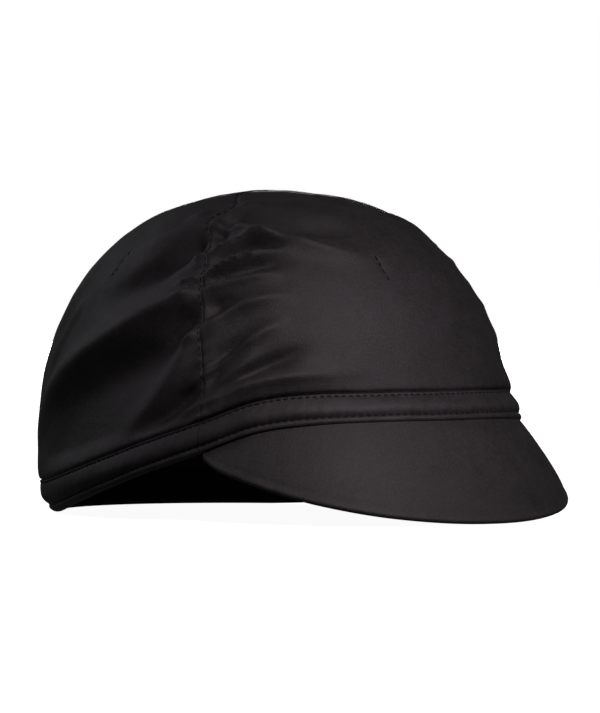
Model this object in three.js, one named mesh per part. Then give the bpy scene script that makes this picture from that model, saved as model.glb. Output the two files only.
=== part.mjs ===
// A short-peaked cycling cap of black cotton, standing on its back hem and the tip of its peak.
// Millimetres. +Z is up, the peak points along -Y, and +X is the wearer's left.
// The cap is sewn from a front and a back crown panel that meet in a seam from ear to ear, a hem under
// each panel, and a peak that hangs from the front hem.
// A "turn" is the angle round the head: 0 at the forehead, 90 at the wearer's right, 180 at the back.
import * as THREE from 'three';

// Driving dimensions
const HALF_WIDTH = 79.5; // cloth at the ears, from the middle plane to its outside
const FRONT_LENGTH = 95.5; // ear line to the outside of the cloth at the forehead
const BACK_LENGTH = 99; // ear line to the outside of the cloth at the back of the head
const CROWN_HEIGHT = 118.3; // apex above the surface that the cap stands on
const WIDEST_HEIGHT = 21; // where the crown is widest
const NECK_TUCK = 0.07; // share by which the crown draws in again below its widest height
const FULLNESS = 2.3; // exponent of the crown's side view: 2 is an ellipse, more is squarer
const CLOTH = 1.2; // crown wall, cloth with its seam allowance

const SEAM_FOOT = 63.4; // turn at which the seam from ear to ear meets the hem
const SEAM_CROSSING = 8; // where that seam crosses the top, behind the ear line
const SEAM_GAP = 0.3; // clearance between two sewn pieces

const HEM_WIDTH = 11.5; // folded hem, measured down the cloth
const HEM_THICKNESS = 2.4;
const HEM_PROUD = 0.5; // hem outside the crown cloth
const HEM_CREASE = 0.5; // soft ridge along the middle of the hem
const HEM_FLARE = 5.5; // outward kick of the front hem over the root of the peak
const HEM_FLARE_TURN = 20; // turn up to which it kicks out in full

const PEAK_DEPTH = 42.5; // along the middle of the peak, from hem to edge
const PEAK_SLOPE = 57; // degrees below level, halfway along
const PEAK_CAMBER = 14; // degrees by which the peak bends down between hem and edge
const PEAK_THICKNESS = 2.4;
const PEAK_INSET = 0.6; // root of the peak behind the outside of the hem
const PEAK_END_DEPTH = 2; // depth at which its two ends are cut square
const PEAK_FULLNESS = 2.2; // exponent of its outline across the forehead
const PEAK_CORNERS = 0.85; // exponent of its outline near the ends: less is squarer

// The deepest and widest fold of the loose cloth
const FOLD_DEPTH = 3.6;
const FOLD_WIDTH = 11; // from its middle to where it has sunk to about a third
const FOLD_TAPER = 0.2; // share of a fold's length in which it dies out at each end
const FOLD_FREE = 0.12; // share of the way up from the hem in which folds come free of it

// Columns and rows of facets
const FRONT_COLUMNS = 34;
const BACK_COLUMNS = 48;
const CROWN_ROWS = 22;
const HEM_ROWS = 2;
const PEAK_ROWS = 6;
const FOLD_STEPS = 12; // straight pieces that stand for a fold's curve
const NEAR_TURN = 1; // turn, and share of the way up, to the places from which a slope is read
const NEAR_WAY = 0.01;

// Height of the hem's lower edge round the head, as a share of its height at the forehead
const RIM = [
  { turn: 0, height: 1 },
  { turn: 20, height: 0.995 },
  { turn: 36, height: 0.96 },
  { turn: 50, height: 0.87 },
  { turn: 63.4, height: 0.67 },
  { turn: 81, height: 0.43 },
  { turn: 90, height: 0.31 },
  { turn: 105, height: 0.14 },
  { turn: 120, height: 0.03 },
  { turn: 135, height: 0 },
  { turn: 180, height: 0 },
];

// How far the seam from ear to ear has turned back from its foot, on the way from the hem (0) to the
// top (1). It is the same on both sides.
const SEAM = [
  { way: 0, back: 0 },
  { way: 0.2, back: 2.4 },
  { way: 0.4, back: 5 },
  { way: 0.55, back: 6.4 },
  { way: 0.75, back: 10.2 },
  { way: 0.9, back: 15.6 },
  { way: 1, back: 24.6 },
];

// The main folds. Each runs through three places on the crown, given by turn and by height as a share of
// the crown's. Width and depth are shares of the largest fold's, and a negative depth stands out as a
// ridge. A negative turn is the wearer's left.
const FOLDS = [
  { from: [66, 0.875], by: [84, 0.82], to: [104, 0.69], width: 0.65, depth: 0.9 },
  { from: [72, 0.8], by: [93, 0.66], to: [112, 0.44], width: 0.75, depth: -0.5 },
  { from: [52, 0.7], by: [77, 0.61], to: [106, 0.42], width: 1, depth: 1 },
  { from: [66, 0.575], by: [77, 0.43], to: [98, 0.25], width: 0.65, depth: -0.67 },
  { from: [50, 0.61], by: [65, 0.48], to: [83, 0.24], width: 0.55, depth: 0.67 },
  { from: [50, 0.5], by: [63, 0.39], to: [78, 0.25], width: 0.55, depth: -0.5 },
  { from: [70, 0.89], by: [53, 0.855], to: [34, 0.8], width: 0.45, depth: -0.5 },
  { from: [60, 0.37], by: [46, 0.43], to: [24, 0.45], width: 0.7, depth: -0.4 },
  { from: [-68, 0.87], by: [-88, 0.81], to: [-110, 0.66], width: 0.65, depth: 0.8 },
  { from: [-74, 0.79], by: [-96, 0.64], to: [-114, 0.43], width: 0.75, depth: -0.5 },
  { from: [-50, 0.68], by: [-75, 0.59], to: [-102, 0.41], width: 1, depth: 0.95 },
  { from: [-64, 0.56], by: [-76, 0.42], to: [-100, 0.26], width: 0.65, depth: -0.6 },
  { from: [-52, 0.58], by: [-66, 0.46], to: [-84, 0.25], width: 0.55, depth: 0.6 },
  { from: [-72, 0.34], by: [-60, 0.4], to: [-40, 0.44], width: 0.65, depth: -0.35 },
];

// Cloth dyed black
const CROWN_CLOTH = { color: 0x17151a, roughness: 0.72, metalness: 0 };
const HEM_CLOTH = { color: 0x19171b, roughness: 0.75, metalness: 0 };
const PEAK_CLOTH = { color: 0x1d1b1e, roughness: 0.78, metalness: 0 };

const { clamp, degToRad: rad, lerp, smoothstep } = THREE.MathUtils;

// A smooth curve through one column of a table
function curveThrough(table, along, column) {
  const places = table.map((row) => row[along]);
  const values = table.map((row) => row[column]);
  const curve = new THREE.CubicInterpolant(places, values, 1, [0]);
  return (place) => curve.evaluate(clamp(place, places[0], places[places.length - 1]))[0];
}
const rimShare = curveThrough(RIM, 'turn', 'height');
const seamBack = curveThrough(SEAM, 'way', 'back');
const seamTurn = (way) => SEAM_FOOT + seamBack(way);

// How far out and down the peak's top face has come at a share of its depth, and its slope there
function peakOffset(depth, share) {
  const bend = rad(PEAK_CAMBER);
  const start = rad(PEAK_SLOPE) - bend / 2;
  const slope = start + bend * share;
  return {
    out: (depth / bend) * (Math.sin(slope) - Math.sin(start)),
    down: (depth / bend) * (Math.cos(start) - Math.cos(slope)),
    slope,
  };
}

// Depth of the peak round the forehead. It runs out to nothing where the seam meets the hem.
function peakDepthAt(turn) {
  const share = Math.abs(turn) / SEAM_FOOT;
  return PEAK_DEPTH * (1 - share ** PEAK_FULLNESS) ** PEAK_CORNERS;
}
const peakEndShare = (PEAK_END_DEPTH / PEAK_DEPTH) ** (1 / PEAK_CORNERS);
const peakEndTurn = SEAM_FOOT * (1 - peakEndShare) ** (1 / PEAK_FULLNESS);

// The cap stands on its back hem and on the tip of its peak, which props up the forehead.
const tip = peakOffset(PEAK_DEPTH, 1);
const foreheadRise = tip.down + PEAK_THICKNESS * Math.cos(tip.slope) + SEAM_GAP;

const rimHeight = (turn) => Math.max(0, foreheadRise * rimShare(Math.abs(turn)));
const flareAt = (turn) => HEM_FLARE * (1 - smoothstep(Math.abs(turn), HEM_FLARE_TURN, SEAM_FOOT));
const hemRise = (turn) => Math.sqrt(HEM_WIDTH ** 2 - flareAt(turn) ** 2);

// Size of the crown's level section at a height, as a share of its widest one
function sectionShare(height) {
  if (height < WIDEST_HEIGHT) {
    return 1 - NECK_TUCK * ((WIDEST_HEIGHT - height) / WIDEST_HEIGHT) ** 2;
  }
  const share = Math.min(1, (height - WIDEST_HEIGHT) / (CROWN_HEIGHT - WIDEST_HEIGHT));
  return (1 - share ** FULLNESS) ** (1 / FULLNESS);
}

// The share that belongs to a place in plan: 0 at the middle of the top, 1 at the widest section
function planShare(x, y) {
  return Math.hypot(x / HALF_WIDTH, y / (y < 0 ? FRONT_LENGTH : BACK_LENGTH));
}

// A point of the crown's outside before any fold. Towards the top all turns gather where the seam crosses,
// behind the middle.
function shellPoint(turn, height) {
  const a = rad(turn);
  const size = sectionShare(height);
  const x = -HALF_WIDTH * size * Math.sin(a);
  let y = -(Math.cos(a) > 0 ? FRONT_LENGTH : BACK_LENGTH) * size * Math.cos(a);
  if (height <= WIDEST_HEIGHT) return new THREE.Vector3(x, y, height);
  y += SEAM_CROSSING * (1 - size ** 2) ** 2;
  const rise = (1 - planShare(x, y) ** FULLNESS) ** (1 / FULLNESS);
  return new THREE.Vector3(x, y, WIDEST_HEIGHT + (CROWN_HEIGHT - WIDEST_HEIGHT) * rise);
}

// The level direction that points straight out of the cloth
function outward(turn) {
  const a = rad(turn);
  const length = Math.cos(a) > 0 ? FRONT_LENGTH : BACK_LENGTH;
  return new THREE.Vector3(-Math.sin(a) / HALF_WIDTH, -Math.cos(a) / length, 0).normalize();
}

// Folds as curves on the crown
const foldLines = FOLDS.map((fold) => {
  const places = [fold.from, fold.by, fold.to].map(([turn, up]) => shellPoint(turn, up * CROWN_HEIGHT));
  return { ...fold, points: new THREE.CatmullRomCurve3(places).getPoints(FOLD_STEPS) };
});

// How far the folds push a place on the crown out (or in, below zero)
function foldRelief(place) {
  const segment = new THREE.Line3();
  const near = new THREE.Vector3();
  let relief = 0;
  for (const { points, width, depth } of foldLines) {
    let closest = Infinity;
    let along = 0;
    for (let i = 0; i < FOLD_STEPS; i++) {
      segment.set(points[i], points[i + 1]);
      const part = segment.closestPointToPointParameter(place, true);
      const distance = segment.at(part, near).distanceTo(place);
      if (distance < closest) {
        closest = distance;
        along = (i + part) / FOLD_STEPS;
      }
    }
    const end = smoothstep(Math.min(along, 1 - along), 0, FOLD_TAPER);
    relief -= FOLD_DEPTH * depth * end * Math.exp(-((closest / (FOLD_WIDTH * width)) ** 2));
  }
  return relief;
}

// Height of the crown's cloth on its way from the hem (0) to the apex (1)
function crownHeightAt(turn, way) {
  const foot = rimHeight(turn) + hemRise(turn) + SEAM_GAP;
  return foot + (CROWN_HEIGHT - foot) * Math.sin((Math.PI / 2) * way);
}

// The crown's outside with its folds, which die out towards the hem
function crownPoint(turn, way) {
  const place = shellPoint(turn, crownHeightAt(turn, way));
  const free = smoothstep(way, 0, FOLD_FREE);
  const lift = new THREE.Vector3(0, 0, (place.z - WIDEST_HEIGHT) / CROWN_HEIGHT);
  const out = outward(turn).multiplyScalar(sectionShare(place.z)).add(lift).normalize();
  return place.addScaledVector(out, free * foldRelief(place));
}

// The direction that points straight out of the folded crown
function crownNormal(turn, way) {
  if (way === 1) return new THREE.Vector3(0, 0, 1);
  const across = crownPoint(turn + NEAR_TURN, way).sub(crownPoint(turn - NEAR_TURN, way));
  const upward = crownPoint(turn, way + NEAR_WAY).sub(crownPoint(turn, Math.max(0, way - NEAR_WAY)));
  return upward.cross(across).normalize();
}

// The hem's outside, from its lower edge (0) to its upper edge (1)
function hemPoint(turn, way) {
  const height = rimHeight(turn) + hemRise(turn) * way;
  const ridge = HEM_CREASE * Math.sin(Math.PI * way);
  const out = HEM_PROUD + flareAt(turn) * (1 - way) + ridge;
  return shellPoint(turn, height).addScaledVector(outward(turn), out);
}

// The peak's top face, from its edge (0) to its root under the hem (1)
function peakPoint(turn, way) {
  const { out, down } = peakOffset(peakDepthAt(turn), 1 - way);
  const place = hemPoint(turn, 0).addScaledVector(outward(turn), out - PEAK_INSET);
  place.z -= down + SEAM_GAP;
  return place;
}

function peakNormal(turn, way) {
  const { slope } = peakOffset(peakDepthAt(turn), 1 - way);
  return outward(turn).multiplyScalar(Math.sin(slope)).add(new THREE.Vector3(0, 0, Math.cos(slope)));
}

// A closed body between an outside and an inside surface, each a grid of rows that climb and columns
// that go round towards the wearer's right. A top row that closes to one point is made one vertex.
function sewnPiece(rows, columns, outside, inside, closesAtTop = false) {
  const positions = [];
  const grids = [outside, inside].map((surface) => {
    const grid = [];
    for (let j = 0; j <= rows; j++) {
      const row = [];
      for (let i = 0; i <= columns; i++) {
        if (closesAtTop && j === rows && i > 0) {
          row.push(row[0]);
          continue;
        }
        row.push(positions.length / 3);
        positions.push(...surface(j / rows, i / columns).toArray());
      }
      grid.push(row);
    }
    return grid;
  });
  const [outer, inner] = grids;
  const index = [];
  const triangle = (a, b, c) => {
    if (a !== b && b !== c && c !== a) index.push(a, b, c);
  };
  // A facet of the wearer's right side is split the other way, so that both sides follow the folds,
  // which run down towards the back.
  const quad = (a, b, c, d) => {
    const right = positions[3 * a] < 0;
    triangle(a, b, right ? d : c);
    triangle(right ? b : a, c, d);
  };
  for (let j = 0; j < rows; j++) {
    for (let i = 0; i < columns; i++) {
      quad(outer[j][i], outer[j + 1][i], outer[j + 1][i + 1], outer[j][i + 1]);
      quad(inner[j][i], inner[j][i + 1], inner[j + 1][i + 1], inner[j + 1][i]);
    }
    quad(outer[j][0], inner[j][0], inner[j + 1][0], outer[j + 1][0]);
    quad(outer[j][columns], outer[j + 1][columns], inner[j + 1][columns], inner[j][columns]);
  }
  for (let i = 0; i < columns; i++) {
    quad(outer[0][i], outer[0][i + 1], inner[0][i + 1], inner[0][i]);
    if (!closesAtTop) quad(outer[rows][i], inner[rows][i], inner[rows][i + 1], outer[rows][i + 1]);
  }
  const geometry = new THREE.BufferGeometry();
  geometry.setAttribute('position', new THREE.Float32BufferAttribute(positions, 3));
  geometry.setIndex(index);
  geometry.computeVertexNormals();
  return geometry;
}

// The turn, within half a circle either way of the forehead, at a share of the way across a front or back
// piece. Columns go round towards the wearer's right.
const frontTurn = (way, across) => lerp(-seamTurn(way), seamTurn(way), across);
function backTurn(way, across) {
  const turn = lerp(seamTurn(way), 360 - seamTurn(way), across);
  return turn > 180 ? turn - 360 : turn;
}

// One panel of the crown
function crownPanel(columns, turnAt) {
  const outside = (way, across) => crownPoint(turnAt(way, across), way);
  const inside = (way, across) => {
    const turn = turnAt(way, across);
    return crownPoint(turn, way).addScaledVector(crownNormal(turn, way), -CLOTH);
  };
  return sewnPiece(CROWN_ROWS, columns, outside, inside, true);
}

// One length of the folded hem
function hemStrip(columns, turnAt) {
  const outside = (way, across) => hemPoint(turnAt(0, across), way);
  const inside = (way, across) => {
    const turn = turnAt(0, across);
    return hemPoint(turn, way).addScaledVector(outward(turn), -HEM_THICKNESS);
  };
  return sewnPiece(HEM_ROWS, columns, outside, inside);
}

function peakBlade() {
  const turnAt = (across) => lerp(-peakEndTurn, peakEndTurn, across);
  const outside = (way, across) => peakPoint(turnAt(across), way);
  const inside = (way, across) => {
    const turn = turnAt(across);
    return peakPoint(turn, way).addScaledVector(peakNormal(turn, way), -PEAK_THICKNESS);
  };
  return sewnPiece(PEAK_ROWS, FRONT_COLUMNS, outside, inside);
}

// A named piece, moved forward or back by half a seam's gap so that front and back pieces stay apart
function piece(name, geometry, look, forward) {
  const mesh = new THREE.Mesh(geometry, new THREE.MeshStandardMaterial(look));
  mesh.name = name;
  mesh.position.y = -forward * (SEAM_GAP / 2);
  return mesh;
}

const cap = new THREE.Group();
cap.add(
  piece('crown_front', crownPanel(FRONT_COLUMNS, frontTurn), CROWN_CLOTH, 1),
  piece('crown_back', crownPanel(BACK_COLUMNS, backTurn), CROWN_CLOTH, -1),
  piece('hem_front', hemStrip(FRONT_COLUMNS, frontTurn), HEM_CLOTH, 1),
  piece('hem_back', hemStrip(BACK_COLUMNS, backTurn), HEM_CLOTH, -1),
  piece('peak', peakBlade(), PEAK_CLOTH, 1),
);

// The origin is under the middle of the cap, on the surface that it stands on.
const extent = new THREE.Box3().setFromObject(cap);
const middle = extent.getCenter(new THREE.Vector3());
cap.position.set(-middle.x, -middle.y, -extent.min.z);

export default cap;
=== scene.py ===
"""Dresses a short-peaked cycling cap of black cotton, standing by itself on a pale floor.

Lengths are in metres. +Z is up, the peak points along -Y and +X is the wearer's left. A turn is the angle
round the head in degrees: 0 at the forehead, 90 at the wearer's right, 180 at the back, and below zero on
the wearer's left. A way is a share of the way up a crown panel, from the hem (0) to the top (1).
"""
import math
from collections import namedtuple

import bmesh
import bpy
import numpy as np
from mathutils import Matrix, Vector, noise


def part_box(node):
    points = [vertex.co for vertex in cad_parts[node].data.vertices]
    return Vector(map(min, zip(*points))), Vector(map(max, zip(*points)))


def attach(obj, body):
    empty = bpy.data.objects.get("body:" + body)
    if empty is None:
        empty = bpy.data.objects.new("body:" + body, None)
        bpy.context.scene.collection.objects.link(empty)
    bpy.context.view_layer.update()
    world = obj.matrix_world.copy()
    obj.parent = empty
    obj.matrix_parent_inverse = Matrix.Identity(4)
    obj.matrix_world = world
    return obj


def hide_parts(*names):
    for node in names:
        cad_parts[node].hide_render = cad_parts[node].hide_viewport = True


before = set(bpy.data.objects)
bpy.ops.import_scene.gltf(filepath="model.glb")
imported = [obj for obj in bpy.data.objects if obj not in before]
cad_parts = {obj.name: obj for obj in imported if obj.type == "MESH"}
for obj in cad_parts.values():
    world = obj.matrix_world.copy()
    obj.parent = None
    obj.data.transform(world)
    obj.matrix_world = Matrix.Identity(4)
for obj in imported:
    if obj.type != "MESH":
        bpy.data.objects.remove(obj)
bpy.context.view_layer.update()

MM = 0.001

# The cut of the cap, as its solids have it
HALF_WIDTH = 79.5 * MM
FRONT_LENGTH = 95.5 * MM
BACK_LENGTH = 99 * MM
CROWN_HEIGHT = 118.3 * MM
WIDEST_HEIGHT = 21 * MM
NECK_TUCK = 0.07
FULLNESS = 2.3
CLOTH_THICKNESS = 1.2 * MM
SEAM_FOOT = 63.4
SEAM_CROSSING = 8 * MM
SEAM_GAP = 0.3 * MM
HEM_WIDTH = 11.5 * MM
HEM_PROUD = 0.5 * MM
HEM_FLARE = 5.5 * MM
HEM_FLARE_TURN = 20
PEAK_DEPTH = 42.5 * MM
PEAK_SLOPE = math.radians(57)
PEAK_CAMBER = math.radians(14)
PEAK_THICKNESS = 2.4 * MM
PEAK_INSET = 0.6 * MM
PEAK_TUCK = 2 * MM  # the peak's root is sewn into the hem this far
PEAK_END_DEPTH = 2 * MM
PEAK_FULLNESS = 2.2
PEAK_CORNERS = 0.85
PEAK_TUCK_FADE = 8  # the higher this is, the fewer rows the tuck draws up
PEAK_EDGE_SHARE = 0.45  # near its ends the peak's rounded edge takes at most this share of its depth
PEAK_GROOVE = 0.16 * MM  # where the cloth turned in at the edge ends under the cover
PEAK_GROOVE_IN = 3.4 * MM
PEAK_GROOVE_WIDTH = 1.3 * MM

# Height of the hem's lower edge by turn, as a share of its height at the forehead
RIM_TURNS = (0, 20, 36, 50, 63.4, 81, 90, 105, 120, 135, 180)
RIM_HEIGHTS = (1, 0.995, 0.96, 0.87, 0.67, 0.43, 0.31, 0.14, 0.03, 0, 0)

# Degrees by which the seam has turned back from its foot, and how it wanders on the wearer's right
SEAM_WAYS = (0, 0.2, 0.4, 0.55, 0.75, 0.9, 1)
SEAM_BACKS = (0, 2.4, 5, 6.4, 10.2, 15.6, 24.6)
WANDER_WAYS = (0, 0.1, 0.17, 0.28, 0.34, 0.4, 0.5, 0.57, 0.64, 0.69, 0.725, 0.77, 0.84, 0.92, 1)
WANDER_TURNS = (0, -1.2, -1.6, -1.8, -1.9, -2.0, -2.2, -2.4, -0.4, -1.0, -8.5, -11, -9, -5, 0)

# Sewing
STITCH_PITCH = 2.7 * MM
STITCH_LENGTH = 2.0 * MM
CROWN_STITCH_LENGTH = 1.8 * MM
THREAD_WIDTH = 0.42 * MM
HEM_ROWS = (2.6 * MM, 10.5 * MM)  # heights of the two stitched rows above the hem's lower edge
SEAM_ROW = 0.75 * MM  # the stitched row beside the seam, on the back panel
SEAM_GROOVE = 0.38 * MM
SEAM_GROOVE_WIDTH = 0.65 * MM
SEAM_LAP = 0.16  # degrees by which each panel runs under the seam
HEM_DIP = 0.1 * MM  # the hem's cloth dips this far under each stitch
HEM_DIP_WIDTH = 0.7 * MM
HEM_THREAD_STAND = 0.04 * MM  # how far the middle of a stitch lies over the plain cloth
SEAM_THREAD_STAND = 0.06 * MM
DART_THREAD_STAND = 0.08 * MM
SEAM_STITCHES_FROM = 3  # rows of the panel's mesh left bare at both ends of the seam
PUCKER_PITCH = 5.4 * MM
SEAM_PUCKER = 0.22 * MM
SEAM_PUCKER_REACH = 3.5 * MM
FOOT_PUCKER = 0.13 * MM
FOOT_PUCKER_REACH = 4 * MM

# The hem's section: distance up from its lower edge, and how far the cloth stands out there, in mm
HEM_OUTSIDE = (
    (0, -0.9), (0.2, -0.4), (0.5, 0.0), (0.9, 0.28), (1.4, 0.38), (1.9, 0.25), (2.25, -0.05),
    (2.6, -0.3), (2.95, 0.0), (3.4, 0.45), (4.1, 0.9), (5.1, 1.2), (6.3, 1.15), (7.6, 0.85),
    (8.8, 0.5), (9.7, 0.15), (10.15, -0.1), (10.5, -0.32), (10.85, -0.12), (11.15, -0.05),
    (11.4, -0.35), (11.5, -0.8),
)
HEM_INSIDE = (
    (11.5, -1.5), (11.3, -2.1), (10.6, -2.38), (8, -2.4), (5, -2.4), (2, -2.4), (0.7, -2.3),
    (0.2, -2.0), (0, -1.5),
)
HEM_CLOTH_WIDTH = 25 * MM  # the threads of the hem's inside are counted back from here
HEM_BODY = (5.6 * MM, 2.6 * MM)  # height and half width of the rolled stretch between the rows

# Ripples of that stretch. The short ones span two stitches each and lean, and the long ones go round the
# head this many times. Each drift is how far they shift, in radians, and how often round the head.
SHORT_RIPPLE = 0.05 * MM
SHORT_RIPPLE_LEAN = 0.5 / MM
SHORT_RIPPLE_DRIFT = (3, 9)
LONG_RIPPLE = 0.12 * MM
LONG_RIPPLES = 23
LONG_RIPPLE_DRIFT = (2, 7)

# Height of the loose cloth that bags out over the hem, by turn, in mm
PUFF_TURNS = (0, 25, 45, 58, 66, 80, 120, 180)
PUFF_HEIGHTS = (0.3, 0.5, 1.1, 1.4, 0.9, 0.6, 0.4, 0.4)
PUFF_REACH = 2.2 * MM
FOOT_TUCK = 1.3 * MM  # the crown's edge goes down into the folded hem, and stands back inside it
FOOT_INSET = 0.6 * MM
FOOT_FADE = 1.0 * MM

# Folds grow from nothing at the hem to their full height at the free way, and a share of them is left at the
# seam.
FREE_WAY = 0.065
SEAM_HOLD = 0.36
SEAM_HOLD_REACH = 7 * MM
FOLD_FADES = (0.24, 0.38)  # shares of its length over which a fold fades in and out
FOLD_REACH = 3.5  # half widths past which a fold isn't felt
LEAN_GROWTH = 2  # the higher this is, the nearer its line a fold's lean is at its full

# Unevenness of the cloth: height, distance across and seed of each layer
CROWN_UNEVENNESS = ((0.45 * MM, 26 * MM, 1.3), (0.22 * MM, 10 * MM, 4.3), (0.05 * MM, 3.6 * MM, 6.3))
PEAK_UNEVENNESS = (0.16 * MM, 17 * MM, 4)
PUCKER_DRIFT = (5, 30 * MM, 9)  # the same of what shifts the seam's puckers, with its height in radians
FOOT_PUCKER_DRIFT = 6 / MM  # radians by which the cloth's unevenness shifts the puckers over the hem

# Where the cloth is worn: how much, how far from the edge and over what half width
SEAM_WEAR = (0.35, 2 * MM, 1.2 * MM)
HEM_WEAR = ((1.0, 1.1 * MM, 0.7 * MM), (0.8, 5.8 * MM, 2.4 * MM))
PEAK_TOP_WEAR = (0.6, 1.6 * MM, 1.3 * MM)
PEAK_EDGE_WEAR = 0.9

# Folds of the crown. Each runs through places given as (turn, height as a share of the crown's). Its rise in
# mm is above zero for a ridge and below for a valley. The half widths, in mm, are those at its two ends, and
# the lean makes its left or right flank the steeper one.
BACK_FOLDS = (
    # rise, half widths, lean, places
    (-5.8, 4.0, 7.0, 0.15, ((54, 0.9), (62, 0.885), (70, 0.858), (76, 0.826), (85, 0.765), (96, 0.69),
                            (107, 0.62))),
    (1.8, 4.0, 5.0, 0.0, ((64, 0.91), (77, 0.885), (86, 0.862), (93, 0.835), (101, 0.79))),
    (4.2, 6.0, 6.0, -0.15, ((58, 0.715), (66, 0.69), (71, 0.67), (80, 0.632), (88, 0.583), (96, 0.53),
                            (104, 0.47), (110, 0.425), (119, 0.355), (128, 0.27), (136, 0.19))),
    (-5.4, 4.0, 10.0, 0.25, ((46, 0.695), (56, 0.67), (64, 0.645), (70, 0.61), (76, 0.535), (83, 0.495),
                             (89, 0.465), (94, 0.425), (100, 0.375), (110, 0.3), (118, 0.23))),
    (2.7, 4.6, 5.6, -0.15, ((58, 0.62), (64, 0.585), (68, 0.538), (71, 0.46), (74, 0.395), (79, 0.33),
                            (86, 0.27), (96, 0.21))),
    (-4.2, 3.4, 5.6, 0.15, ((47, 0.61), (55, 0.54), (61, 0.465), (66, 0.395), (71, 0.33), (78, 0.26),
                            (85, 0.2))),
    (2.8, 3.0, 4.2, 0.0, ((47, 0.54), (54, 0.46), (61, 0.385), (67, 0.335), (73, 0.28), (80, 0.22))),
    (-2.6, 2.6, 4.0, 0.0, ((53, 0.43), (60, 0.37), (67, 0.3), (76, 0.235))),
    (-2.6, 12.0, 16.0, 0.0, ((66, 0.42), (80, 0.35), (94, 0.28), (108, 0.23), (122, 0.2), (136, 0.2))),
    (1.4, 1.9, 2.4, 0.0, ((111, 0.7), (115, 0.6), (119, 0.5), (122, 0.42))),
    (1.3, 2.2, 2.8, 0.0, ((116, 0.8), (121, 0.68), (126, 0.52))),
)
FRONT_FOLDS = (
    (3.7, 2.6, 5.4, 0.15, ((77, 0.888), (69, 0.888), (59, 0.877), (50, 0.855), (38, 0.832), (22, 0.8),
                           (4, 0.78))),
    (2.4, 1.9, 2.8, 0.0, ((76, 0.785), (68, 0.803), (60, 0.828), (50, 0.848), (40, 0.85))),
    (-3.1, 2.0, 3.2, 0.0, ((76, 0.74), (66, 0.77), (57, 0.807), (42, 0.83), (32, 0.83))),
    (2.9, 2.0, 3.6, 0.0, ((76, 0.7), (67, 0.736), (58, 0.778), (48, 0.802), (28, 0.8))),
    (-2.9, 1.9, 3.2, 0.0, ((76, 0.68), (67, 0.715), (58, 0.75), (46, 0.775), (36, 0.77))),
    (1.9, 1.5, 2.6, 0.0, ((75, 0.66), (68, 0.69), (58, 0.722), (47, 0.74), (40, 0.74))),
    (2.7, 2.2, 4.0, 0.0, ((72, 0.52), (65, 0.575), (58, 0.63), (48, 0.67), (36, 0.68))),
    (2.7, 2.0, 3.6, 0.0, ((70, 0.38), (64, 0.44), (57, 0.503), (48, 0.575), (40, 0.62))),
    (-3.3, 2.0, 3.6, 0.0, ((69, 0.33), (62, 0.385), (54, 0.44), (43, 0.5), (34, 0.53))),
    (2.2, 3.2, 5.4, 0.0, ((70, 0.325), (61, 0.37), (49, 0.423), (36, 0.448), (12, 0.452))),
    (-4.2, 4.8, 8.5, 0.0, ((72, 0.92), (62, 0.918), (48, 0.903), (32, 0.885), (14, 0.868), (-8, 0.855))),
    (1.9, 1.8, 3.4, 0.0, ((88, 0.915), (76, 0.922), (63, 0.936), (54, 0.95), (40, 0.955))),
    (0.9, 3.0, 3.0, 0.0, ((8, 0.975), (-2, 0.965), (-14, 0.94))),
    (0.9, 3.0, 3.0, 0.0, ((-24, 0.92), (-34, 0.89), (-46, 0.83))),
)
# The wearer's left has the same loose cloth, which falls more plainly and a little lower
LEFT_SHARE = 0.5
LEFT_DROP = 0.03
LEFT_BACK = 3
MIDDLE_FOLDS = 20  # folds that come nearer the forehead than this turn aren't repeated on the left

# A ridge of the front panel that rises more than this, in mm, has a crest of these shares of its size on it
HIGH_RIDGE = 2
CREST_RISE = 0.26
CREST_WIDTH = 0.4


def on_the_left(folds):
    return tuple(
        (rise * LEFT_SHARE, first, last, -lean,
         tuple((-turn - LEFT_BACK, height - LEFT_DROP) for turn, height in places))
        for rise, first, last, lean, places in folds
        if min(turn for turn, _ in places) > MIDDLE_FOLDS
    )


def crests_of(folds):
    return tuple(
        (rise * CREST_RISE, first * CREST_WIDTH, last * CREST_WIDTH, lean, places)
        for rise, first, last, lean, places in folds
        if rise > HIGH_RIDGE
    )


# Short stitched darts, one in each panel, each in a narrow hollow of its own
FRONT_DART = ((10, 0.79), (9, 0.761), (9, 0.719))
BACK_DART = ((103, 0.824), (104, 0.773), (104, 0.74))
DART_FOLDS = ((-0.8, 0.8, 0.8, 0.0, FRONT_DART), (-0.6, 0.8, 0.8, 0.0, BACK_DART))
DART_STITCHES = 4
DART_STITCHES_SPAN = (0.1, 0.9)

# Fineness of the meshes. The crown's rows and columns crowd towards the panel's edges by a share.
CROWN_ROWS = 168
FRONT_COLUMNS = 210
BACK_COLUMNS = 280
ROW_CROWDING = 0.3
FRONT_CROWDING = 0.72
BACK_CROWDING = 0.78
HEM_MEASURING_STEPS = 4000
PLACING_STEPS = 720
COLUMNS_PER_STITCH = 8
PEAK_COLUMNS = 180
PEAK_ROWS = 36
EDGE_ROUNDING = 8  # steps round the peak's outer edge
FOLD_STEPS = 6  # straight pieces between two places of a fold
SHARP = math.radians(55)


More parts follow.
